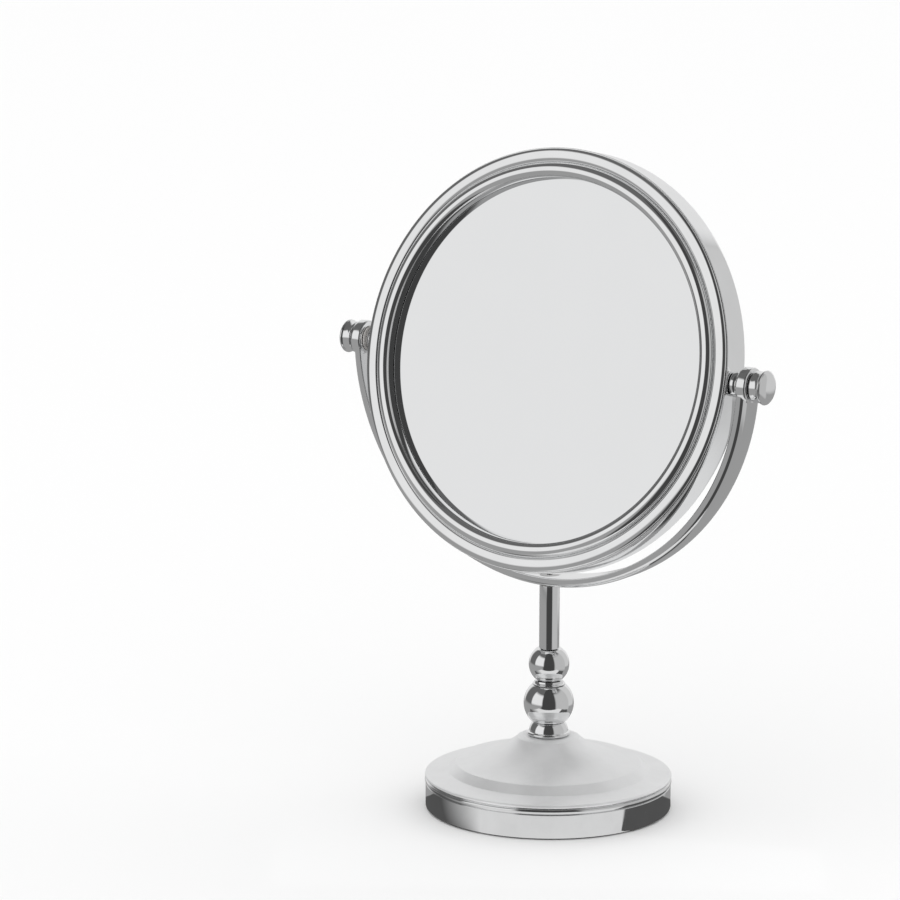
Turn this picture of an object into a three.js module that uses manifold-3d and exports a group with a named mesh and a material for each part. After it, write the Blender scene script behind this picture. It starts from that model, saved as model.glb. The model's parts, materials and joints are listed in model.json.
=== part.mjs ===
// Countertop mirror: a double-sided round mirror that tilts in a half-ring yoke on a turned stem
// and a weighted round base. Millimetres, +Z up, front of the mirror towards -Y, pins along X.
// The origin is the centre of the underside, on the surface that the mirror stands on.
import * as THREE from 'three';
import { mergeVertices } from 'three/addons/utils/BufferGeometryUtils.js';
import Module from 'manifold-3d';

const wasm = await Module();
wasm.setup();

// ---- Driving dimensions ----
const GAP = 0.3; // assembly gap between pieces that touch
const PIN_HEIGHT = 214.2; // tilt axis above the table
const REST_TILT = THREE.MathUtils.degToRad(-12.4); // the head leans back at rest

const GLASS_RADIUS = 88.3;
const GLASS_FACE = 5.3; // outer face of each glass from the head's middle plane
const FRONT_GLASS_THICKNESS = 3;
const REAR_GLASS_THICKNESS = 2;
const REAR_GLASS_SAG = 2.6; // depth of the magnifying glass at its centre
const SPACER_RADIUS = 86;

const HOOP_RADIUS = 98.8;
const HOOP_WALL = 0.9;
const HOOP_HALF_WIDTH = 7.6;
const LIP_RADIUS = 85; // visible edge of the glass
const RIM_SHEET = 0.8;

const YOKE_RADIUS = 108.8;
const YOKE_THICKNESS = 4.6;
const YOKE_WIDTH = 15;
const YOKE_RISE = 2.6; // centre of the yoke's arc above the tilt axis
const EAR_RADIUS = 8.5;
const EAR_INSIDE = 103.8; // inner face of each ear from the middle
const EAR_OUTSIDE = 109.2;

const STUD_RADIUS = 2.35;
const STEM_RADIUS = 4.75;
const STEM_BORE = 3.9;
const ROD_RADIUS = 2.4;
const ROD_CLEARANCE = 2.8;

const BASE_RADIUS = 58.3;
const SHELL_SHEET = 0.9;
const SHELL_FOOT = 0.8; // lower edge of the shell above the table
const HUB_TOP = 35;

const RING_STEPS = 40; // facets round a large ring
const SMALL_STEPS = 16; // facets round a small turned piece

// ---- Finishes ----
const finish = (color, roughness, metalness) => ({ color, roughness, metalness });
const CHROME = finish(0xd9dbde, 0.06, 1);
const SATIN_CHROME = finish(0xd6d8da, 0.3, 1);
const MIRROR = finish(0xe4e7e9, 0.02, 1);
const STEEL = finish(0x9a9da1, 0.35, 1);
const BRASS = finish(0xb8964f, 0.3, 1);
const CAST_IRON = finish(0x3a3c3f, 0.8, 0.6);
const NYLON = finish(0xe8e6df, 0.5, 0);
const PLASTIC = finish(0x2b2d30, 0.5, 0);
const BOARD = finish(0xa39a8a, 0.95, 0);
const FELT = finish(0x1f2124, 1, 0);

// ---- Geometry helpers ----
// Position-only geometry with shared vertices and no empty triangles.
function weld(geometry) {
  const bare = geometry.clone();
  bare.deleteAttribute('normal');
  bare.deleteAttribute('uv');
  const merged = mergeVertices(bare, 1e-4);
  const index = Array.from(merged.index.array);
  const kept = [];
  for (let i = 0; i < index.length; i += 3) {
    const [a, b, c] = index.slice(i, i + 3);
    if (a !== b && b !== c && c !== a) {
      kept.push(a, b, c);
    }
  }
  merged.setIndex(kept);
  return merged;
}

function toSolid(geometry) {
  const welded = weld(geometry);
  return new wasm.Manifold(new wasm.Mesh({
    numProp: 3,
    vertProperties: new Float32Array(welded.attributes.position.array),
    triVerts: new Uint32Array(welded.index.array),
  }));
}

function toGeometry(solid) {
  const mesh = solid.getMesh();
  const geometry = new THREE.BufferGeometry();
  geometry.setAttribute('position', new THREE.BufferAttribute(mesh.vertProperties, 3));
  geometry.setIndex(new THREE.BufferAttribute(mesh.triVerts, 1));
  geometry.computeVertexNormals();
  return geometry;
}

const outline = (...pairs) => pairs.map(([r, h]) => new THREE.Vector2(r, h));

// Turned piece about Z. The outline runs anticlockwise in the (radius, height) plane; it starts
// and ends on the axis, or it is closed here.
function turned(points, steps = SMALL_STEPS) {
  const onAxis = points[0].x === 0 && points[points.length - 1].x === 0;
  const closed = onAxis ? points : [...points, points[0].clone()];
  return new THREE.LatheGeometry(closed, steps).rotateX(Math.PI / 2);
}

const ring = (inner, outer, low, high, steps) =>
  turned(outline([inner, low], [outer, low], [outer, high], [inner, high]), steps);

const rod = (radius, low, high, steps) =>
  turned(outline([0, low], [radius, low], [radius, high], [0, high]), steps);

// Points of an elliptical stretch of outline, from one angle to another in degrees.
function arc(centre, radii, from, to, count) {
  const points = [];
  for (let i = 0; i <= count; i += 1) {
    const angle = THREE.MathUtils.degToRad(from + ((to - from) * i) / count);
    points.push(new THREE.Vector2(
      centre[0] + radii[0] * Math.cos(angle),
      centre[1] + radii[1] * Math.sin(angle),
    ));
  }
  return points;
}

// Smooth stretch of outline between two points, pulled towards a third.
function curve(from, pull, to, count) {
  const bend = new THREE.QuadraticBezierCurve(...outline(from, pull, to));
  return bend.getPoints(count);
}

// Part of a ball between two heights, with a bore along its axis.
function boredBall(radius, centre, low, high, bore) {
  const start = THREE.MathUtils.radToDeg(Math.asin((low - centre) / radius));
  const end = THREE.MathUtils.radToDeg(Math.asin((high - centre) / radius));
  const side = arc([0, centre], [radius, radius], start, end, 8);
  return turned([...outline([bore, low]), ...side, ...outline([bore, high])]);
}

function hexNut(acrossFlats, bore, low, high) {
  const corner = acrossFlats / Math.sqrt(3);
  const shape = new THREE.Shape();
  for (let i = 0; i < 6; i += 1) {
    const angle = (i * Math.PI) / 3;
    const method = i === 0 ? 'moveTo' : 'lineTo';
    shape[method](corner * Math.cos(angle), corner * Math.sin(angle));
  }
  shape.closePath();
  shape.holes.push(new THREE.Path().absarc(0, 0, bore, 0, 2 * Math.PI, true));
  const settings = { depth: high - low, bevelEnabled: false, curveSegments: 8 };
  return new THREE.ExtrudeGeometry(shape, settings).translate(0, 0, low);
}

// Turns a piece made about Z so that its axis lies along +X (side 1) or -X (side -1).
const alongPin = (geometry, side) => geometry.rotateY((side * Math.PI) / 2);
// Turns a piece made about Z so that its axis points to the head's front.
const facingFront = (geometry) => geometry.rotateX(Math.PI / 2);
const facingRear = (geometry) => geometry.rotateX(-Math.PI / 2);

function named(name, geometry, look) {
  const mesh = new THREE.Mesh(geometry, new THREE.MeshStandardMaterial(look));
  mesh.name = name;
  return mesh;
}

// ---- Base ----
function basePad() {
  return rod(56.5, 0, 1.4, RING_STEPS);
}

function baseWeight() {
  const seat = 8.4; // roof of the pocket that takes the washer and nut
  return turned(outline(
    [ROD_CLEARANCE + 0.3, seat], [12, seat], [12, 2], [55, 2], [55, 11.5], [53.5, 13],
    [ROD_CLEARANCE + 0.3, 13],
  ), RING_STEPS);
}

// Spun cover: straight wall, rolled bead, sloping ledge, bevel and a flare up to the hub.
function baseShell() {
  const wall = BASE_RADIUS - 0.3;
  const outside = [
    ...outline([wall, SHELL_FOOT], [wall, 12]),
    ...arc([wall - 0.5, 13.4], [0.8, 1.2], -90, 90, 4),
    ...arc([wall - 0.8, 15.7], [1.1, 0.9], -50, 90, 3),
    ...outline([47.6, 18.2], [43.6, 22]),
    ...curve([43.6, 22], [23, 26], [14.6, 34.2], 5).slice(1),
    ...outline([12.2, HUB_TOP], [ROD_CLEARANCE + 0.3, HUB_TOP]),
  ];
  const inside = [
    ...outline([ROD_CLEARANCE + 0.3, HUB_TOP - SHELL_SHEET], [11.8, HUB_TOP - SHELL_SHEET]),
    ...curve([13.9, 33.4], [22.4, 25.2], [43.2, 21.1], 4),
    ...outline([47.2, 17.3], [wall - 1.7, 15.6], [wall - 1.6, 12], [wall - SHELL_SHEET, 11]),
    ...outline([wall - SHELL_SHEET, SHELL_FOOT]),
  ];
  return turned([...outside, ...inside], RING_STEPS);
}

// ---- Stem ----
const COLLAR_FOOT = HUB_TOP + GAP;
const COLLAR_TOP = 41.4;
const LOWER_BALL = { radius: 11.85, centre: 50.5, low: COLLAR_TOP + GAP, high: 59.4 };
const UPPER_BALL = { radius: 9.55, centre: 68.9, low: 61.9, high: 76.8 };
const YOKE_BOTTOM = PIN_HEIGHT + YOKE_RISE - YOKE_RADIUS;
const STEM_TOP = YOKE_BOTTOM - GAP;
const PLUG_FOOT = 92;
const ROD_TOP = 99;

function stemCollar() {
  return turned([
    ...outline([ROD_CLEARANCE, COLLAR_FOOT], [9.6, COLLAR_FOOT]),
    ...arc([9.4, COLLAR_FOOT + 0.8], [0.8, 0.8], -75, 75, 4),
    ...outline([9.2, COLLAR_FOOT + 1.8]),
    ...curve([9.2, COLLAR_FOOT + 1.8], [8.9, 39.6], [7.5, COLLAR_TOP], 4).slice(1),
    ...outline([ROD_CLEARANCE, COLLAR_TOP]),
  ]);
}

function ballSpacer() {
  const low = LOWER_BALL.high + GAP;
  const high = UPPER_BALL.low - GAP;
  return turned([
    ...outline([ROD_CLEARANCE, low], [7.7, low], [7.7, low + 0.4]),
    ...curve([7.7, low + 0.4], [6.8, low + 0.7], [6.6, high], 3).slice(1),
    ...outline([ROD_CLEARANCE, high]),
  ]);
}

const ball = ({ radius, centre, low, high }) => boredBall(radius, centre, low, high, ROD_CLEARANCE);

const stemTube = () => ring(STEM_BORE, STEM_RADIUS, UPPER_BALL.high + GAP, STEM_TOP);

const stemPlug = () => ring(ROD_CLEARANCE - 0.05, STEM_BORE - GAP, PLUG_FOOT, STEM_TOP - GAP);

// Countersunk screw through the bottom of the yoke into the plug.
function yokeScrew() {
  const head = YOKE_BOTTOM + YOKE_THICKNESS - 0.1;
  const cone = head - 2.6;
  return turned(outline(
    [0, ROD_TOP + 1], [ROD_RADIUS, ROD_TOP + 1], [ROD_RADIUS, cone], [4.6, head - 0.4],
    [4.6, head], [1.6, head], [1.3, head - 1.4], [0, head - 1.4],
  ));
}

// ---- Yoke ----
// Half-ring strap with a round ear at each end, seen from the front and drawn about the arc's
// centre; the extrusion runs along Y.
function yoke() {
  const edge = 1; // rounding along the strap's edges
  const dip = Math.asin(YOKE_RISE / YOKE_RADIUS);
  const outer = YOKE_RADIUS - edge;
  const inner = YOKE_RADIUS - YOKE_THICKNESS + edge;
  const shape = new THREE.Shape();
  shape.absarc(0, 0, outer, Math.PI + dip, 2 * Math.PI - dip, false);
  shape.absarc(0, 0, inner, 2 * Math.PI - dip, Math.PI + dip, true);
  shape.closePath();
  const strap = new THREE.ExtrudeGeometry(shape, {
    depth: YOKE_WIDTH - 2 * edge,
    curveSegments: 32,
    bevelSize: edge,
    bevelThickness: edge,
    bevelSegments: 1,
  });
  strap.translate(0, 0, edge - YOKE_WIDTH / 2).rotateX(Math.PI / 2).translate(0, 0, YOKE_RISE);
  let solid = toSolid(strap);
  for (const side of [-1, 1]) {
    const ear = turned([
      ...outline([0, EAR_INSIDE], [EAR_RADIUS - edge, EAR_INSIDE]),
      ...outline([EAR_RADIUS, EAR_INSIDE + edge], [EAR_RADIUS, EAR_OUTSIDE - edge]),
      ...outline([EAR_RADIUS - edge, EAR_OUTSIDE], [0, EAR_OUTSIDE]),
    ], 24);
    const hole = rod(STUD_RADIUS + 0.5, EAR_INSIDE - 5, EAR_OUTSIDE + 5);
    solid = solid.add(toSolid(alongPin(ear, side))).subtract(toSolid(alongPin(hole, side)));
  }
  const seat = YOKE_RISE - YOKE_RADIUS + YOKE_THICKNESS;
  const screwHole = turned(outline(
    [0, seat - 12], [ROD_RADIUS + 0.4, seat - 12], [ROD_RADIUS + 0.4, seat - 2.6],
    [5.2, seat - 0.1], [5.2, seat + 4], [0, seat + 4],
  ));
  return toGeometry(solid.subtract(toSolid(screwHole)));
}

// ---- Pivots: each piece is turned about Z from the middle outwards, then laid along the pin ----
const BUSH = { low: HOOP_RADIUS + 0.35, high: 102.7 };
const FRICTION_WASHER = { low: 103, high: 103.5 };
const OUTER_WASHER = { low: EAR_OUTSIDE + GAP, high: 110 };
const KNOB = { low: 110.3, rim: 115.3, tip: 117.6 };
const ANCHOR_NUT = { low: 93.6, high: 97.3 };
const STUD = { low: 92.6, high: 115.2 };

// Rounded boss that stands on the hoop, widest where it meets it.
function pivotBush() {
  const bore = STUD_RADIUS + 0.4;
  return turned([
    ...outline([bore, BUSH.low], [5.5, BUSH.low], [5.9, BUSH.low + 0.4]),
    ...curve([5.9, BUSH.low + 0.9], [5.7, BUSH.high - 0.4], [4.2, BUSH.high], 4),
    ...outline([bore, BUSH.high]),
  ]);
}

// Turned knob: a waist that flares to a rounded rim and a domed end, with a blind threaded hole.
function knob() {
  const bore = STUD_RADIUS + GAP;
  return turned([
    ...outline([bore, KNOB.low], [6.9, KNOB.low], [7.3, KNOB.low + 0.4]),
    ...curve([7.3, KNOB.low + 0.8], [7.0, 113.4], [7.6, KNOB.rim - 0.6], 4),
    ...arc([7.2, KNOB.rim], [0.7, 0.7], -40, 60, 3),
    ...curve([7.4, KNOB.rim + 0.8], [5.8, KNOB.tip], [0, KNOB.tip], 4),
    ...outline([0, 115.8], [bore, 115.5]),
  ], 20);
}

function stud() {
  return turned(outline(
    [0, STUD.low], [STUD_RADIUS - 0.4, STUD.low], [STUD_RADIUS, STUD.low + 0.4],
    [STUD_RADIUS, STUD.high - 0.4], [STUD_RADIUS - 0.4, STUD.high], [0, STUD.high],
  ), 20);
}

// ---- Head: each ring is turned about Z with the outer side up, then faced to front or rear ----
function hoop() {
  const inner = HOOP_RADIUS - HOOP_WALL;
  let solid = toSolid(facingFront(ring(
    inner, HOOP_RADIUS, -HOOP_HALF_WIDTH, HOOP_HALF_WIDTH, RING_STEPS,
  )));
  for (const side of [-1, 1]) {
    const hole = rod(STUD_RADIUS + 0.35, inner - 4, HOOP_RADIUS + 4, 20);
    solid = solid.subtract(toSolid(alongPin(hole, side)));
  }
  return toGeometry(solid);
}

// Pressed rim: skirt inside the hoop, wide rounded ring, V groove, raised bead and inner lip.
function rim() {
  const skirt = HOOP_RADIUS - HOOP_WALL - GAP;
  const shoulder = HOOP_HALF_WIDTH + GAP;
  const beadRadius = 3.3;
  const bead = LIP_RADIUS + beadRadius;
  const ringMiddle = 95;
  const lipEnd = GLASS_FACE + GAP;
  return turned([
    ...outline([skirt, 4.8], [skirt, shoulder], [98.3, shoulder]),
    ...arc([ringMiddle, 8.3], [3.3, 1.3], 0, 180, 5),
    ...arc([bead, 8.9], [beadRadius, 2.7], -12, 180, 6),
    ...outline([LIP_RADIUS, lipEnd], [LIP_RADIUS + RIM_SHEET, lipEnd]),
    ...arc([bead, 8.6], [beadRadius - RIM_SHEET, 2.2], 180, 0, 3),
    ...outline([91.6, 7.6], [ringMiddle - 0.7, 8.7], [skirt - 0.7, 8.1], [skirt - 0.7, 4.8]),
  ], RING_STEPS);
}

function carrierRing() {
  const halfHeight = 4.4;
  const outer = HOOP_RADIUS - HOOP_WALL - 0.4;
  const pocketFloor = 91.4;
  let solid = toSolid(ring(GLASS_RADIUS + 0.4, outer, -halfHeight, halfHeight, RING_STEPS));
  for (const side of [-1, 1]) {
    const pocket = new THREE.BoxGeometry(12, 11.4, 3 * halfHeight);
    pocket.translate(side * (pocketFloor + 6), 0, 0);
    solid = solid.subtract(toSolid(pocket));
  }
  return facingFront(toGeometry(solid));
}

function frontGlass() {
  const back = GLASS_FACE - FRONT_GLASS_THICKNESS;
  return facingFront(rod(GLASS_RADIUS, back, GLASS_FACE, RING_STEPS));
}

// Height of a dished surface at a radius: deepest in the middle, level with the edge at the rim.
const dish = (edge, radius) => edge - REAR_GLASS_SAG * (1 - (radius / GLASS_RADIUS) ** 2);
const dishStations = [0, 22, 44, 66, GLASS_RADIUS];

function rearGlass() {
  const inner = dishStations.map((r) => new THREE.Vector2(r, dish(GLASS_FACE - REAR_GLASS_THICKNESS, r)));
  const outer = dishStations.map((r) => new THREE.Vector2(r, dish(GLASS_FACE, r))).reverse();
  return facingRear(turned([...inner, ...outer], RING_STEPS));
}

// Board disc between the two glasses; its rear side follows the dished glass.
function glassSpacer() {
  const rearEdge = GLASS_FACE - REAR_GLASS_THICKNESS - GAP;
  const frontSide = GLASS_FACE - FRONT_GLASS_THICKNESS - GAP;
  const stations = dishStations.map((r) => Math.min(r, SPACER_RADIUS));
  const rear = stations.map((r) => new THREE.Vector2(r, dish(rearEdge, r))).reverse();
  return facingRear(turned([
    ...outline([0, -frontSide], [SPACER_RADIUS, -frontSide]),
    ...rear,
  ], RING_STEPS));
}

// ---- Assembly ----
const mirror = new THREE.Group();

mirror.add(
  named('base_pad', basePad(), FELT),
  named('base_weight', baseWeight(), CAST_IRON),
  named('base_shell', baseShell(), SATIN_CHROME),
  named('base_nut', hexNut(8, ROD_RADIUS + GAP, 2.9, 6.6), STEEL),
  named('base_washer', ring(ROD_CLEARANCE, 9, 6.9, 8.1), STEEL),
  named('tie_rod', rod(ROD_RADIUS, 2.4, ROD_TOP, 20), STEEL),
  named('stem_collar', stemCollar(), CHROME),
  named('lower_ball', ball(LOWER_BALL), CHROME),
  named('ball_spacer', ballSpacer(), CHROME),
  named('upper_ball', ball(UPPER_BALL), CHROME),
  named('stem_tube', stemTube(), CHROME),
  named('stem_plug', stemPlug(), BRASS),
  named('yoke_screw', yokeScrew(), STEEL),
);

// Everything on the tilt axis hangs from this group, at the height of the pins.
const pinLevel = new THREE.Group();
pinLevel.position.z = PIN_HEIGHT;
mirror.add(pinLevel);
pinLevel.add(named('yoke', yoke(), CHROME));

const head = new THREE.Group();
head.rotation.x = REST_TILT;
pinLevel.add(head);
head.add(
  named('hoop', hoop(), CHROME),
  named('front_rim', facingFront(rim()), CHROME),
  named('rear_rim', facingRear(rim()), CHROME),
  named('carrier_ring', carrierRing(), PLASTIC),
  named('front_glass', frontGlass(), MIRROR),
  named('rear_glass', rearGlass(), MIRROR),
  named('glass_spacer', glassSpacer(), BOARD),
);

for (const [label, side] of [['left', -1], ['right', 1]]) {
  const washer = ({ low, high }, outer) => alongPin(ring(STUD_RADIUS + 0.35, outer, low, high), side);
  const nut = hexNut(8, STUD_RADIUS + GAP, ANCHOR_NUT.low, ANCHOR_NUT.high);
  pinLevel.add(
    named(`${label}_friction_washer`, washer(FRICTION_WASHER, 6), NYLON),
    named(`${label}_outer_washer`, washer(OUTER_WASHER, 6.1), STEEL),
  );
  head.add(
    named(`${label}_bush`, alongPin(pivotBush(), side), CHROME),
    named(`${label}_stud`, alongPin(stud(), side), STEEL),
    named(`${label}_anchor_nut`, alongPin(nut, side), STEEL),
    named(`${label}_knob`, alongPin(knob(), side), CHROME),
  );
}

export default mirror;
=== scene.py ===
# Countertop mirror: the fine surfaces, finishes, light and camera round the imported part.
# Outlines are (radius, height) in millimetres about the piece's own axis; Blender works in metres.
import json
import math
from functools import partial

import bmesh
import bpy
from mathutils import Matrix, Vector


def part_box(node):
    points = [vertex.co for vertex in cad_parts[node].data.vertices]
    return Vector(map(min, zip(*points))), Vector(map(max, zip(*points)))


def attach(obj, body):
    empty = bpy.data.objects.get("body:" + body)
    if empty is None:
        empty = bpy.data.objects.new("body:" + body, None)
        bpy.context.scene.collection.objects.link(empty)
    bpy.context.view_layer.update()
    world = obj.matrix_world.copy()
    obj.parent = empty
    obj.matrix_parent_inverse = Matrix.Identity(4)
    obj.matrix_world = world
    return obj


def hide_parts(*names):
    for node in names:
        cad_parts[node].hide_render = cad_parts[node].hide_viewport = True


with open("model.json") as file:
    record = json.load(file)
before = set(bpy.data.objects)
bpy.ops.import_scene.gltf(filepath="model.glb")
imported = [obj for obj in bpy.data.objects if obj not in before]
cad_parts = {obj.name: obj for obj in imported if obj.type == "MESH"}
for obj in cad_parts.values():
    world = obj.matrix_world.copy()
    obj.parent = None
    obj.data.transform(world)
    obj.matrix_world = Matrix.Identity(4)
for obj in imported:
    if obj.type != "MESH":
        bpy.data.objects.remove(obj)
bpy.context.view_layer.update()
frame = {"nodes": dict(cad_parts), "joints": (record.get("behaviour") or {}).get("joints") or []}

MM = 0.001
PIN_HEIGHT = frame["joints"][0]["pos_m"][2] / MM
REST_TILT = math.radians(-12.4)  # the head leans back at rest
CAMERA_AZIMUTH = 33.16  # degrees from straight ahead, towards the object's +X side


# ---- Where things are, from the frame ----
def low(node, axis=2):
    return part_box(node)[0][axis] / MM


def high(node, axis=2):
    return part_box(node)[1][axis] / MM


def radius_of(node):
    """Outer radius of an upright turned CAD node."""
    return high(node, 0)


STANDING = Matrix.Identity(4)
AT_PINS = Matrix.Translation((0, 0, PIN_HEIGHT * MM))
HEAD = AT_PINS @ Matrix.Rotation(REST_TILT, 4, "X")
FACING_FRONT = HEAD @ Matrix.Rotation(math.pi / 2, 4, "X")
FACING_REAR = HEAD @ Matrix.Rotation(-math.pi / 2, 4, "X")


def along_pin(side):
    """Lays a piece turned about Z along the tilt axis, outwards on that side."""
    return AT_PINS @ Matrix.Rotation(side * math.pi / 2, 4, "Y")


# ---- Outlines ----
def arc(centre, radii, start, end, count):
    """Points of an elliptical stretch, between two angles in degrees."""
    points = []
    for i in range(count + 1):
        angle = math.radians(start + (end - start) * i / count)
        points.append((centre[0] + radii[0] * math.cos(angle), centre[1] + radii[1] * math.sin(angle)))
    return points


def curve(start, pull, end, count):
    """Points of a smooth stretch from start to end, pulled towards a third point."""
    points = []
    for i in range(count + 1):
        t = i / count
        points.append(tuple(
            (1 - t) ** 2 * a + 2 * t * (1 - t) * b + t ** 2 * c for a, b, c in zip(start, pull, end)
        ))
    return points


def soften(points, radius, count=4, sharpest=18):
    """The outline with every corner sharper than that many degrees rounded off."""
    on_axis = points[0][0] == 0 and points[-1][0] == 0
    made = []
    for i, point in enumerate(points):
        corner = Vector(point)
        if on_axis and i in (0, len(points) - 1):
            made.append(point)
            continue
        before = Vector(points[i - 1]) - corner
        after = Vector(points[(i + 1) % len(points)]) - corner
        if before.length < 1e-6:
            continue
        turn = math.degrees((-before).angle(after)) if after.length > 1e-6 else 0
        if turn < sharpest:
            made.append(point)
            continue
        reach = min(radius, before.length * 0.45, after.length * 0.45)
        start = corner + before.normalized() * reach
        end = corner + after.normalized() * reach
        made.extend(curve(start, corner, end, count))
    return made


# ---- Meshes ----
def mark_sharp(mesh, degrees=35):
    """Smooth shading, with creases only where faces meet at more than that angle."""
    work = bmesh.new()
    work.from_mesh(mesh)
    for face in work.faces:
        face.smooth = True
    for edge in work.edges:
        edge.smooth = len(edge.link_faces) == 2 and edge.calc_face_angle(0) < math.radians(degrees)
    work.to_mesh(mesh)
    work.free()


def new_object(name, mesh):
    piece = bpy.data.objects.new(name, mesh)
    bpy.context.scene.collection.objects.link(piece)
    return piece


def turned_mesh(name, outline, place, steps):
    """Closed turned mesh. The outline runs anticlockwise in (radius, height)."""
    on_axis = outline[0][0] == 0 and outline[-1][0] == 0
    vertices, rows = [], []
    for radius, height in outline:
        if radius == 0:
            rows.append([len(vertices)] * steps)
            vertices.append((0, 0, height * MM))
            continue
        rows.append([len(vertices) + i for i in range(steps)])
        for i in range(steps):
            angle = 2 * math.pi * i / steps
            vertices.append((radius * math.cos(angle) * MM, radius * math.sin(angle) * MM, height * MM))
    if not on_axis:
        rows.append(rows[0])
    faces = []
    for lower, upper in zip(rows, rows[1:]):
        for i in range(steps):
            j = (i + 1) % steps
            face = [lower[i], lower[j], upper[j], upper[i]]
            face = [v for k, v in enumerate(face) if v != face[k - 1]]
            if len(face) > 2:
                faces.append(face)
    mesh = bpy.data.meshes.new(name)
    mesh.from_pydata(vertices, [], faces)
    mesh.transform(place)
    mesh.validate()
    mark_sharp(mesh)
    return mesh


def turned(name, outline, place=STANDING, steps=256):
    return new_object(name, turned_mesh(name, outline, place, steps))


def swept_strap(name, centre_height, inner, outer, width, dip):
    """Half ring in the XZ plane, open at the top: nearly flat inside, well rounded outside."""
    half, steps = width / 2, 360
    section = []
    for radial, along, radii, start in (
        (outer, half, OUTER_ROUNDING, 0),
        (inner, half, INNER_ROUNDING, 90),
        (inner, -half, INNER_ROUNDING, 180),
        (outer, -half, OUTER_ROUNDING, 270),
    ):
        corner = (
            radial + (radii[0] if radial == inner else -radii[0]),
            along - math.copysign(radii[1], along),
        )
        section.extend(arc(corner, radii, start, start + 90, 10))
    vertices, faces = [], []
    for i in range(steps + 1):
        angle = math.pi + dip + (math.pi - 2 * dip) * i / steps
        for radial, along in section:
            height = centre_height + radial * math.sin(angle)
            vertices.append((radial * math.cos(angle) * MM, along * MM, height * MM))
    count = len(section)
    for i in range(steps):
        for j in range(count):
            k = (j + 1) % count
            faces.append([i * count + j, i * count + k, (i + 1) * count + k, (i + 1) * count + j])
    faces.append(list(range(count)))
    faces.append([steps * count + j for j in reversed(range(count))])
    mesh = bpy.data.meshes.new(name)
    mesh.from_pydata(vertices, [], faces)
    work = bmesh.new()
    work.from_mesh(mesh)
    bmesh.ops.recalc_face_normals(work, faces=work.faces)
    work.to_mesh(mesh)
    work.free()
    return new_object(name, mesh)


def combine(piece, tool_mesh, operation):
    """Joins a closed mesh to the piece, or cuts it out of it."""
    tool = new_object("tool", tool_mesh)
    change = piece.modifiers.new("combine", "BOOLEAN")
    change.operation = operation
    change.object = tool
    change.solver = "EXACT"
    depsgraph = bpy.context.evaluated_depsgraph_get()
    made = bpy.data.meshes.new_from_object(piece.evaluated_get(depsgraph))
    piece.modifiers.clear()
    piece.data = made
    bpy.data.objects.remove(tool)


# ---- Finishes ----
def new_material(name, **constants):
    """A Principled material; constants are set on the shader's own sockets."""
    material = bpy.data.materials.new(name)
    material.use_nodes = True
    nodes = material.node_tree.nodes
    shader = nodes["Principled BSDF"]
    for key, value in constants.items():
        shader.inputs[key.replace("_", " ")].default_value = value
    return material, nodes, material.node_tree.links, shader


def calculate(nodes, links, operation, *values):
    """A Math node over numbers and sockets."""
    node = nodes.new("ShaderNodeMath")
    node.operation = operation
    for socket, value in zip(node.inputs, values):
        if isinstance(value, (int, float)):
            socket.default_value = value
        else:
            links.new(value, socket)
    return node.outputs["Value"]


def noise(nodes, links, scale, detail=4, stretch=(1, 1, 1)):
    """Noise over the object's own coordinates, in cells per metre."""
    place = nodes.new("ShaderNodeTexCoord")
    mapping = nodes.new("ShaderNodeMapping")
    mapping.inputs["Scale"].default_value = stretch
    texture = nodes.new("ShaderNodeTexNoise")
    texture.inputs["Scale"].default_value = scale
    texture.inputs["Detail"].default_value = detail
    texture.inputs["Roughness"].default_value = 0.55
    links.new(place.outputs["Object"], mapping.inputs["Vector"])
    links.new(mapping.outputs["Vector"], texture.inputs["Vector"])
    return texture.outputs["Fac"]


def spread(nodes, links, value, from_low, from_high, to_low, to_high):
    """Maps a value's range onto another range."""
    node = nodes.new("ShaderNodeMapRange")
    for socket, number in zip(("From Min", "From Max", "To Min", "To Max"),
                              (from_low, from_high, to_low, to_high)):
        node.inputs[socket].default_value = number
    links.new(value, node.inputs["Value"])
    return node.outputs["Result"]


def tint(nodes, links, value, *stops):
    """Colour ramp through (position, colour) stops."""
    ramp = nodes.new("ShaderNodeValToRGB")
    elements = ramp.color_ramp.elements
    while len(elements) < len(stops):
        elements.new(0.5)
    for element, (position, colour) in zip(elements, stops):
        element.position = position
        element.color = (*colour, 1)
    links.new(value, ramp.inputs["Fac"])
    return ramp.outputs["Color"]


def bump(nodes, links, height, distance, strength):
    node = nodes.new("ShaderNodeBump")
    node.inputs["Distance"].default_value = distance
    node.inputs["Strength"].default_value = strength
    links.new(height, node.inputs["Height"])
    return node.outputs["Normal"]


def grey(value, warmth=0.0):
    return (value * (1 + warmth), value, value * (1 - warmth))


def plated(name, shine, dull):
    """Polished plate: clean reflections with faint polishing haze and fine hairlines."""
    material, nodes, links, shader = new_material(name, Metallic=1.0)
    haze = noise(nodes, links, 55, 5)
    hairline = noise(nodes, links, 900, 3, (1, 1, 0.08))
    links.new(spread(nodes, links, haze, 0.35, 0.7, shine, dull), shader.inputs["Roughness"])
    links.new(
        tint(nodes, links, haze, (0.3, grey(0.90, -0.004)), (0.7, grey(0.94, -0.004))),
        shader.inputs["Base Color"],
    )
    links.new(bump(nodes, links, hairline, 0.000004, 0.25), shader.inputs["Normal"])
    return material


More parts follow.
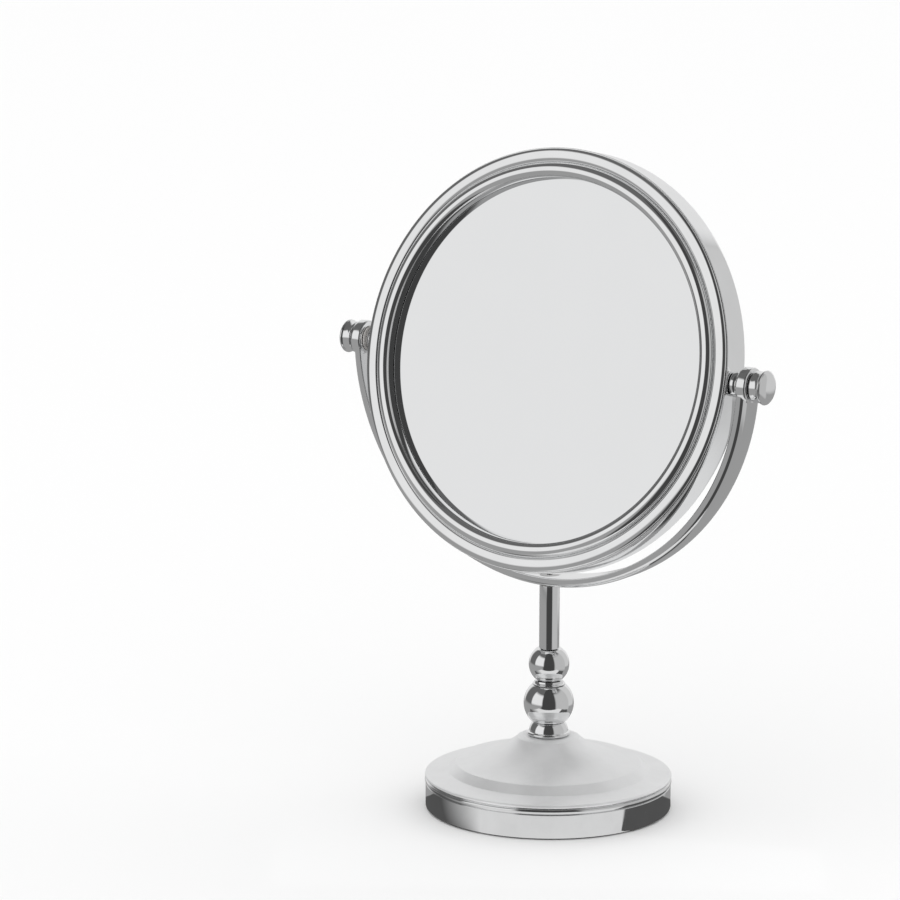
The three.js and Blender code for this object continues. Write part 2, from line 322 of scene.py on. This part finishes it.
def spun_and_polished(name, satin_above):
    """Polished plate up to a height in millimetres, and spun satin plate above it."""
    material, nodes, links, shader = new_material(name)
    place = nodes.new("ShaderNodeTexCoord")
    parts = nodes.new("ShaderNodeSeparateXYZ")
    links.new(place.outputs["Object"], parts.inputs["Vector"])
    edge = 0.4  # half the height over which one finish runs into the other
    starts, ends = (satin_above - edge) * MM, (satin_above + edge) * MM
    satin = spread(nodes, links, parts.outputs["Z"], starts, ends, 0, 1)
    haze = noise(nodes, links, 60, 5)
    polished_shine = spread(nodes, links, haze, 0.35, 0.7, 0.05, 0.09)
    satin_shine = spread(nodes, links, haze, 0.35, 0.7, 0.36, 0.44)
    shine = nodes.new("ShaderNodeMix")
    links.new(satin, shine.inputs["Factor"])
    links.new(polished_shine, shine.inputs["A"])
    links.new(satin_shine, shine.inputs["B"])
    links.new(shine.outputs["Result"], shader.inputs["Roughness"])
    links.new(spread(nodes, links, satin, 0, 1, 1, 0.55), shader.inputs["Metallic"])
    links.new(
        tint(nodes, links, haze, (0.3, grey(0.80, -0.004)), (0.7, grey(0.87, -0.004))),
        shader.inputs["Base Color"],
    )
    # Spinning lines run round the axis, so they vary with the distance from it.
    away = nodes.new("ShaderNodeVectorMath")
    away.operation = "LENGTH"
    flat = nodes.new("ShaderNodeCombineXYZ")
    links.new(parts.outputs["X"], flat.inputs["X"])
    links.new(parts.outputs["Y"], flat.inputs["Y"])
    links.new(flat.outputs["Vector"], away.inputs[0])
    lines = nodes.new("ShaderNodeTexNoise")
    lines.noise_dimensions = "1D"
    lines.inputs["Scale"].default_value = 2500
    lines.inputs["Detail"].default_value = 3
    links.new(away.outputs["Value"], lines.inputs["W"])
    depth = calculate(nodes, links, "MULTIPLY", lines.outputs["Fac"], satin)
    links.new(bump(nodes, links, depth, 0.00003, 0.35), shader.inputs["Normal"])
    return material


def silvered(name):
    """Silvered glass: a clean mirror with the faintest trace of wiping."""
    material, nodes, links, shader = new_material(name, Metallic=1.0)
    wiped = noise(nodes, links, 28, 6, (1, 0.35, 1))
    links.new(spread(nodes, links, wiped, 0.4, 0.75, 0.006, 0.022), shader.inputs["Roughness"])
    links.new(
        tint(nodes, links, wiped, (0.3, grey(0.925, -0.006)), (0.75, grey(0.915, -0.006))),
        shader.inputs["Base Color"],
    )
    return material


def zinc(name):
    material, nodes, links, shader = new_material(name, Metallic=1.0)
    crystals = noise(nodes, links, 1500, 4)
    links.new(
        tint(nodes, links, crystals, (0.3, grey(0.42)), (0.7, grey(0.62))), shader.inputs["Base Color"],
    )
    links.new(spread(nodes, links, crystals, 0.3, 0.7, 0.28, 0.48), shader.inputs["Roughness"])
    links.new(bump(nodes, links, crystals, 0.00005, 0.4), shader.inputs["Normal"])
    return material


def turned_brass(name):
    material, nodes, links, shader = new_material(name, Metallic=1.0)
    lines = noise(nodes, links, 700, 3, (0.1, 0.1, 3))
    links.new(
        tint(nodes, links, lines, (0.3, (0.62, 0.44, 0.2)), (0.7, (0.78, 0.6, 0.3))),
        shader.inputs["Base Color"],
    )
    links.new(spread(nodes, links, lines, 0.3, 0.7, 0.22, 0.4), shader.inputs["Roughness"])
    links.new(bump(nodes, links, lines, 0.00004, 0.5), shader.inputs["Normal"])
    return material


def cast(name):
    material, nodes, links, shader = new_material(name, Metallic=0.6)
    grain = noise(nodes, links, 600, 6)
    links.new(
        tint(nodes, links, grain, (0.3, grey(0.035, 0.1)), (0.7, grey(0.085, 0.05))),
        shader.inputs["Base Color"],
    )
    links.new(spread(nodes, links, grain, 0.3, 0.7, 0.65, 0.9), shader.inputs["Roughness"])
    links.new(bump(nodes, links, grain, 0.0004, 0.7), shader.inputs["Normal"])
    return material


def felted(name):
    material, nodes, links, shader = new_material(name, Sheen_Weight=0.5, Sheen_Roughness=0.6)
    fibre = noise(nodes, links, 1800, 6, (1, 0.3, 1))
    clumps = noise(nodes, links, 260, 4)
    links.new(
        tint(nodes, links, clumps, (0.3, grey(0.012, 0.02)), (0.7, grey(0.03, 0.02))),
        shader.inputs["Base Color"],
    )
    links.new(spread(nodes, links, clumps, 0, 1, 0.88, 1), shader.inputs["Roughness"])
    links.new(bump(nodes, links, fibre, 0.0003, 0.8), shader.inputs["Normal"])
    return material


def moulded(name, shade, warmth, dull):
    material, nodes, links, shader = new_material(name)
    grain = noise(nodes, links, 1200, 3)
    links.new(
        tint(nodes, links, grain, (0.3, grey(shade * 0.92, warmth)), (0.7, grey(shade, warmth))),
        shader.inputs["Base Color"],
    )
    links.new(spread(nodes, links, grain, 0.3, 0.7, dull - 0.06, dull + 0.06), shader.inputs["Roughness"])
    links.new(bump(nodes, links, grain, 0.00006, 0.4), shader.inputs["Normal"])
    return material


def pressed_board(name):
    material, nodes, links, shader = new_material(name)
    flecks = noise(nodes, links, 900, 6)
    links.new(
        tint(nodes, links, flecks, (0.3, (0.2, 0.18, 0.15)), (0.7, (0.36, 0.33, 0.28))),
        shader.inputs["Base Color"],
    )
    links.new(spread(nodes, links, flecks, 0.3, 0.7, 0.85, 1), shader.inputs["Roughness"])
    links.new(bump(nodes, links, flecks, 0.0002, 0.6), shader.inputs["Normal"])
    return material


BASE_FINISH = spun_and_polished("base_plate", 15.4)
FINISHES = {
    "chrome": plated("chrome_plate", 0.02, 0.055),
    "mirror": silvered("silvered_glass"),
    "steel": zinc("zinc_steel"),
    "brass": turned_brass("turned_brass"),
    "cast_iron": cast("cast_iron_grain"),
    "felt": felted("pressed_felt"),
    "nylon": moulded("nylon_moulding", 0.62, 0.03, 0.4),
    "black_plastic": moulded("black_moulding", 0.02, 0.0, 0.45),
    "board": pressed_board("grey_board"),
}


def finished(piece, body, slot, *nodes):
    """Gives a new piece its finish, the CAD body it moves with and the nodes it stands for."""
    piece.data.materials.clear()
    piece.data.materials.append(FINISHES[slot])
    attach(piece, body)
    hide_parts(*nodes)


# ---- Base ----
def base():
    radius = radius_of("base_shell")
    foot, hub = low("base_shell"), high("base_shell")
    wall, sheet, bore = radius - 0.3, 0.9, 3.1
    outside = [
        (wall - 0.25, foot), (wall, foot + 0.25), (wall, 12),
        *arc((wall - 0.5, 13.4), (0.8, 1.2), -90, 90, 14),
        *arc((wall - 0.8, 15.7), (1.1, 0.9), -50, 90, 12),
        (47.6, 18.2), (43.6, 22),
        *curve((43.6, 22), (23, 26), (14.6, 34.2), 40)[1:],
        (12.2, hub), (bore, hub),
    ]
    inside = [
        (bore, hub - sheet), (11.8, hub - sheet),
        *curve((13.9, 33.4), (22.4, 25.2), (43.2, 21.1), 24),
        (47.2, 17.3), (wall - 1.7, 15.6), (wall - 1.6, 12), (wall - sheet, 11), (wall - sheet, foot),
    ]
    shell = turned("base_shell_spun", soften(outside + inside, 0.3), steps=360)
    finished(shell, "stand", "chrome", "base_shell")
    shell.data.materials[0] = BASE_FINISH
    pad_radius, pad_top = 56.5, high("base_pad")
    pad = [(0, 0), (pad_radius, 0), (pad_radius, pad_top), (0, pad_top)]
    finished(turned("base_pad_felt", soften(pad, 0.3)), "stand", "felt", "base_pad")


# ---- Stem ----
ROD_CLEARANCE = 2.8


def stem_collar():
    foot, top = low("stem_collar"), high("stem_collar")
    outline = [
        (ROD_CLEARANCE, foot), (9.6, foot),
        *arc((9.4, foot + 0.8), (0.8, 0.8), -75, 75, 14),
        (9.2, foot + 1.8),
        *curve((9.2, foot + 1.8), (8.9, 39.6), (7.5, top), 14)[1:],
        (ROD_CLEARANCE, top),
    ]
    finished(turned("stem_collar_turned", soften(outline, 0.25)), "stand", "chrome", "stem_collar")


def ball(node, radius):
    foot, top = low(node), high(node)
    centre = (foot + top) / 2
    start = math.degrees(math.asin((foot - centre) / radius))
    outline = [(ROD_CLEARANCE, foot), *arc((0, centre), (radius, radius), start, -start, 64),
               (ROD_CLEARANCE, top)]
    finished(turned(node + "_turned", soften(outline, 0.2)), "stand", "chrome", node)


def ball_spacer():
    foot, top = low("ball_spacer"), high("ball_spacer")
    outline = [
        (ROD_CLEARANCE, foot), (7.7, foot), (7.7, foot + 0.4),
        *curve((7.7, foot + 0.4), (6.8, foot + 0.7), (6.6, top), 8)[1:],
        (ROD_CLEARANCE, top),
    ]
    finished(turned("ball_spacer_turned", soften(outline, 0.15)), "stand", "chrome", "ball_spacer")


def stem_tube():
    foot, top, radius, bore = low("stem_tube"), high("stem_tube"), radius_of("stem_tube"), 3.9
    outline = [(bore, foot), (radius, foot), (radius, top), (bore, top)]
    finished(turned("stem_tube_drawn", soften(outline, 0.2)), "stand", "chrome", "stem_tube")


def yoke_screw():
    """Countersunk screw with a hexagon socket, pointing down into the stem."""
    head, tip, rod = high("yoke_screw"), low("yoke_screw"), 2.4
    outline = [(0, tip), (rod, tip), (rod, head - 2.6), (4.6, head - 0.4), (4.6, head), (0, head)]
    screw = turned("yoke_screw_turned", soften(outline, 0.2), steps=96)
    socket = [(0, head - 1.6), (1.45, head - 1.6), (1.45, head + 1), (0, head + 1)]
    combine(screw, turned_mesh("socket", socket, STANDING, 6), "DIFFERENCE")
    mark_sharp(screw.data)
    finished(screw, "stand", "steel", "yoke_screw")


# ---- Yoke ----
EAR_INSIDE, EAR_OUTSIDE, EAR_RADIUS = 103.8, 109.2, 8.5
YOKE_RISE, YOKE_THICKNESS, YOKE_WIDTH = 2.6, 4.6, 15
OUTER_ROUNDING = (2.6, 3.4)  # radial and sideways radii of the strap's corners
INNER_ROUNDING = (0.5, 0.5)


def yoke():
    outer = PIN_HEIGHT + YOKE_RISE - low("yoke")
    dip = math.asin(YOKE_RISE / outer)
    strap = swept_strap("yoke_bent", PIN_HEIGHT + YOKE_RISE, outer - YOKE_THICKNESS, outer, YOKE_WIDTH, dip)
    ear = soften([(0, EAR_INSIDE), (EAR_RADIUS, EAR_INSIDE), (EAR_RADIUS, EAR_OUTSIDE),
                  (0, EAR_OUTSIDE)], 1.3, 8)
    hole = [(0, EAR_INSIDE - 5), (2.85, EAR_INSIDE - 5), (2.85, EAR_OUTSIDE + 5), (0, EAR_OUTSIDE + 5)]
    for side in (-1, 1):
        combine(strap, turned_mesh("ear", ear, along_pin(side), 192), "UNION")
        combine(strap, turned_mesh("hole", hole, along_pin(side), 64), "DIFFERENCE")
    seat = PIN_HEIGHT + YOKE_RISE - outer + YOKE_THICKNESS
    screw_hole = [(0, seat - 12), (2.8, seat - 12), (2.8, seat - 2.6), (5.2, seat - 0.1),
                  (5.2, seat + 4), (0, seat + 4)]
    combine(strap, turned_mesh("screw_hole", screw_hole, STANDING, 96), "DIFFERENCE")
    mark_sharp(strap.data)
    finished(strap, "stand", "chrome", "yoke")


# ---- Pivots ----
STUD_BORE = 2.7


def pin_ring(name, node, body, slot, side, outer, start, end):
    outline = [(STUD_BORE, start), (outer, start), (outer, end), (STUD_BORE, end)]
    finished(turned(name, soften(outline, 0.12), along_pin(side), 128), body, slot, node)


def bush(label, side):
    """Rounded boss that stands on the hoop."""
    start, end = 99.15, 102.7
    outline = [
        (STUD_BORE, start), (5.5, start), (5.9, start + 0.4),
        *curve((5.9, start + 0.9), (5.7, end - 0.4), (4.2, end), 16),
        (STUD_BORE, end),
    ]
    finished(turned(label + "_bush_turned", soften(outline, 0.2), along_pin(side), 128),
             "head", "chrome", label + "_bush")


def knob(label, side):
    """A waist that flares to a rounded rim and a domed end, with a blind hole."""
    node = label + "_knob"
    start, rim_place, tip = 110.3, 115.3, high("right_knob", 0)
    outline = [
        (0, 115.8), (STUD_BORE, 115.5), (STUD_BORE, start), (6.9, start), (7.3, start + 0.4),
        *curve((7.3, start + 0.8), (7.0, 113.4), (7.6, rim_place - 0.6), 16),
        *arc((7.2, rim_place), (0.7, 0.7), -40, 60, 10),
        *curve((7.4, rim_place + 0.8), (5.8, tip), (0, tip), 28),
    ]
    finished(turned(node + "_turned", soften(outline, 0.14), along_pin(side), 160), node, "chrome", node)


def pivots():
    for label, side in (("left", -1), ("right", 1)):
        bush(label, side)
        pin_ring(label + "_friction_ring", label + "_friction_washer", "stand", "nylon", side,
                 6.0, 103.0, 103.5)
        pin_ring(label + "_outer_ring", label + "_outer_washer", "stand", "steel", side,
                 6.1, 109.5, 110.0)
        knob(label, side)


# ---- Head ----
HOOP_RADIUS, HOOP_WALL, HOOP_HALF_WIDTH = 98.8, 0.9, 7.6
GLASS_RADIUS, GLASS_FACE, LIP_RADIUS, SHEET = 88.3, 5.3, 85.0, 0.8
GAP = 0.3


def hoop():
    inner, half, rows = HOOP_RADIUS - HOOP_WALL, HOOP_HALF_WIDTH, 8
    up = [(HOOP_RADIUS, -half + 2 * half * i / rows) for i in range(rows + 1)]
    down = [(inner, height) for _, height in reversed(up)]
    band = turned("hoop_rolled", soften(up + down, 0.25), FACING_FRONT, 480)
    for side in (-1, 1):
        hole = [(0, inner - 4), (STUD_BORE, inner - 4), (STUD_BORE, HOOP_RADIUS + 4), (0, HOOP_RADIUS + 4)]
        combine(band, turned_mesh("hole", hole, along_pin(side), 48), "DIFFERENCE")
    mark_sharp(band.data)
    finished(band, "head", "chrome", "hoop")


def rim(name, node, place):
    """Pressed rim: skirt inside the hoop, wide rounded ring, V groove, raised bead and inner lip."""
    skirt = HOOP_RADIUS - HOOP_WALL - GAP
    shoulder = HOOP_HALF_WIDTH + GAP
    bead_radius, ring_middle = 3.3, 95.0
    bead = LIP_RADIUS + bead_radius
    lip_end = GLASS_FACE + GAP
    outline = [
        (skirt, 4.8), (skirt, shoulder), (98.3, shoulder),
        *arc((ring_middle, 8.3), (3.3, 1.3), 0, 180, 40),
        *arc((bead, 8.9), (bead_radius, 2.7), -12, 180, 44),
        (LIP_RADIUS, lip_end), (LIP_RADIUS + SHEET, lip_end),
        *arc((bead, 8.6), (bead_radius - SHEET, 2.2), 180, 0, 16),
        (91.6, 7.6), (ring_middle - 0.7, 8.7), (skirt - 0.7, 8.1), (skirt - 0.7, 4.8),
    ]
    finished(turned(name, soften(outline, 0.15, 3), place, 480), "head", "chrome", node)


def front_glass():
    back = GLASS_FACE - 3
    outline = [(0, back), (GLASS_RADIUS, back), (GLASS_RADIUS, GLASS_FACE), (0, GLASS_FACE)]
    finished(turned("front_glass_silvered", soften(outline, 0.4), FACING_FRONT, 360),
             "head", "mirror", "front_glass")


def rear_glass():
    """Magnifying glass, dished towards its middle."""
    sag, thickness, rings = 2.6, 2.0, 48

    def dish(edge, radius):
        return edge - sag * (1 - (radius / GLASS_RADIUS) ** 2)

    radii = [GLASS_RADIUS * i / rings for i in range(rings + 1)]
    inner = [(radius, dish(GLASS_FACE - thickness, radius)) for radius in radii]
    outer = [(radius, dish(GLASS_FACE, radius)) for radius in reversed(radii)]
    finished(turned("rear_glass_silvered", soften(inner + outer, 0.3), FACING_REAR, 360),
             "head", "mirror", "rear_glass")


# ---- CAD pieces that keep their own mesh: only their finish is set ----
def inner_pieces():
    slots = {
        "steel": ["base_nut", "base_washer", "tie_rod", "left_stud", "right_stud", "left_anchor_nut",
                  "right_anchor_nut"],
        "cast_iron": ["base_weight"],
        "brass": ["stem_plug"],
        "black_plastic": ["carrier_ring"],
        "board": ["glass_spacer"],
    }
    for slot, nodes in slots.items():
        for node in nodes:
            piece = frame["nodes"][node]
            piece.data.materials.clear()
            piece.data.materials.append(FINISHES[slot])


# ---- Studio ----
def camera():
    """The camera stands to the object's right, a little above it, with a long lens."""
    distance, target_height, elevation = 2.059, 0.150, math.radians(12.17)
    turn = Matrix.Rotation(math.radians(CAMERA_AZIMUTH), 4, "Z")
    place = Vector((0, -distance * math.cos(elevation), target_height + distance * math.sin(elevation)))
    look = Vector((0, 0, target_height)) - place
    aim = look.to_track_quat("-Z", "Y").to_matrix().to_4x4()
    yaw, pitch, roll = (math.radians(angle) for angle in (1.31, 0.59, 0.47))
    offset = Matrix.Rotation(yaw, 4, "Y") @ Matrix.Rotation(pitch, 4, "X") @ Matrix.Rotation(roll, 4, "Z")
    data = bpy.data.cameras.new("camera")
    data.sensor_width = 36
    data.lens = 176.2
    data.clip_start, data.clip_end = 0.05, 60
    shooter = bpy.data.objects.new("camera", data)
    bpy.context.scene.collection.objects.link(shooter)
    shooter.matrix_world = turn @ Matrix.Translation(place) @ aim @ offset
    bpy.context.scene.camera = shooter


def floor():
    """Pale floor. Polished pieces reflect the studio and the lit table strip in its place."""
    mesh = bpy.data.meshes.new("floor")
    reach = 14
    mesh.from_pydata([(-reach, -reach, 0), (reach, -reach, 0), (reach, reach, 0), (-reach, reach, 0)],
                     [], [[0, 1, 2, 3]])
    ground = new_object("floor", mesh)
    material, _, _, shader = new_material("pale_floor", Roughness=0.9)
    shader.inputs["Base Color"].default_value = (*grey(0.9), 1)
    mesh.materials.append(material)
    ground.visible_glossy = False


# Lit table runs out on each side between two bearings, in degrees about a place beside the base:
# (place in metres, bearing where the table is dark, bearing where it is lit).
LIT_SIDES = (
    ((-0.0274, -0.0470), -122, -66),
    ((0.0383, -0.0481), 79, 75),
)
DARK_TABLE, LIT_TABLE = 0.09, 0.74


def table_strip():
    """Lit table in front of the base with dark table on both sides, that only reflections show."""
    half_width, reach, behind, lift = 0.125, 0.132, 0.012, 0.0002
    mesh = bpy.data.meshes.new("table_strip")
    mesh.from_pydata([(-half_width, -reach, 0), (half_width, -reach, 0), (half_width, behind, 0),
                      (-half_width, behind, 0)], [], [[0, 1, 2, 3]])
    strip = new_object("table_strip", mesh)
    turn = Matrix.Rotation(math.radians(CAMERA_AZIMUTH), 4, "Z")
    strip.matrix_world = turn @ Matrix.Translation((0, 0, lift))
    material = bpy.data.materials.new("lit_table")
    material.use_nodes = True
    nodes, links = material.node_tree.nodes, material.node_tree.links
    nodes.clear()
    math_node = partial(calculate, nodes, links)
    place = nodes.new("ShaderNodeTexCoord")

    def bearing(centre):
        """Angle on the table round a place, from the camera's direction and towards the right."""
        across = nodes.new("ShaderNodeVectorMath")
        across.operation = "SUBTRACT"
        across.inputs[1].default_value = (*centre, 0)
        links.new(place.outputs["Object"], across.inputs[0])
        parts = nodes.new("ShaderNodeSeparateXYZ")
        links.new(across.outputs["Vector"], parts.inputs["Vector"])
        angle = math_node("ARCTAN2", parts.outputs["X"], math_node("MULTIPLY", parts.outputs["Y"], -1))
        return spread(nodes, links, angle, -math.pi, math.pi, -180, 180)

    sides = [spread(nodes, links, bearing(centre), dark, lit, 0, 1) for centre, dark, lit in LIT_SIDES]
    glow = nodes.new("ShaderNodeEmission")
    brightness = spread(nodes, links, math_node("MULTIPLY", *sides), 0, 1, DARK_TABLE, LIT_TABLE)
    links.new(brightness, glow.inputs["Strength"])
    output = nodes.new("ShaderNodeOutputMaterial")
    links.new(glow.outputs["Emission"], output.inputs["Surface"])
    material.cycles.emission_sampling = "NONE"
    mesh.materials.append(material)
    strip.visible_camera = False
    strip.visible_diffuse = False
    strip.visible_shadow = False
    strip.visible_transmission = False


# The studio that polished pieces reflect: (azimuth from the camera, half width, soft edge,
# lowest and highest elevation, soft edge, brightness), angles in degrees, towards the right.
CAMERA_GAP = 0.055
PANELS = (
    (180, 150, 6, -90, 90, 1, 0.13),
    (180, 146, 10, -82, -4, 14, 0.33),
    (-58, 28, 9, -6, 42, 16, 0.82),
    (70, 38, 12, -30, 50, 20, 0.50),
    (122, 24, 14, -16, 60, 10, 0.60),
    (180, 42, 20, -12, 46, 20, 0.78),
)
FLOOR_LIGHT = 1.13


def studio():
    """Even light for the floor, and soft boxes with dark gaps between them for reflections."""
    world = bpy.data.worlds.new("studio")
    bpy.context.scene.world = world
    world.use_nodes = True
    nodes, links = world.node_tree.nodes, world.node_tree.links
    nodes.clear()

    math_node = partial(calculate, nodes, links)

    def ramp(value, edge, side, soft):
        """Rises smoothly from 0 to 1 across an edge of that width, upwards (1) or downwards (-1)."""
        node = nodes.new("ShaderNodeMapRange")
        node.interpolation_type = "SMOOTHSTEP"
        node.inputs["From Min"].default_value = edge - side * soft / 2
        node.inputs["From Max"].default_value = edge + side * soft / 2
        links.new(value, node.inputs["Value"])
        return node.outputs["Result"]

    place = nodes.new("ShaderNodeTexCoord")
    parts = nodes.new("ShaderNodeSeparateXYZ")
    links.new(place.outputs["Generated"], parts.inputs["Vector"])
    x, y, z = parts.outputs
    elevation = math_node("DEGREES", math_node("ARCSINE", z))
    level = math_node("SQRT", math_node("ADD", math_node("MULTIPLY", x, x), math_node("MULTIPLY", y, y)))
    level = math_node("MAXIMUM", level, 0.0001)
    brightness = None
    for azimuth, half, soft, lowest, highest, blend, strength in PANELS:
        angle = math.radians(CAMERA_AZIMUTH + azimuth)
        towards = math_node("ADD", math_node("MULTIPLY", x, math.sin(angle)),
                            math_node("MULTIPLY", y, -math.cos(angle)))
        cosine = math_node("MINIMUM", math_node("MAXIMUM", math_node("DIVIDE", towards, level), -1.0), 1.0)
        away = math_node("DEGREES", math_node("ARCCOSINE", cosine))
        mask = math_node("MULTIPLY", ramp(away, half, -1, soft),
                         math_node("MULTIPLY", ramp(elevation, lowest, 1, blend),
                                   ramp(elevation, highest, -1, blend)))
        panel = math_node("MULTIPLY", mask, strength)
        brightness = panel if brightness is None else math_node("MAXIMUM", brightness, panel)
    brightness = math_node("MAXIMUM", brightness, CAMERA_GAP)

    path = nodes.new("ShaderNodeLightPath")
    even = nodes.new("ShaderNodeBackground")
    even.inputs["Strength"].default_value = FLOOR_LIGHT
    boxes = nodes.new("ShaderNodeBackground")
    links.new(brightness, boxes.inputs["Strength"])
    mix = nodes.new("ShaderNodeMixShader")
    output = nodes.new("ShaderNodeOutputWorld")
    links.new(path.outputs["Is Glossy Ray"], mix.inputs["Fac"])
    links.new(even.outputs["Background"], mix.inputs[1])
    links.new(boxes.outputs["Background"], mix.inputs[2])
    links.new(mix.outputs["Shader"], output.inputs["Surface"])
    for shader in (even, boxes):
        shader.inputs["Color"].default_value = (*grey(1), 1)


bpy.context.scene.view_settings.view_transform = "Standard"
base()
stem_collar()
ball("lower_ball", 11.85)
ball_spacer()
ball("upper_ball", 9.55)
stem_tube()
yoke_screw()
yoke()
pivots()
hoop()
rim("front_rim_pressed", "front_rim", FACING_FRONT)
rim("rear_rim_pressed", "rear_rim", FACING_REAR)
front_glass()
rear_glass()
inner_pieces()
camera()
floor()
table_strip()
studio()
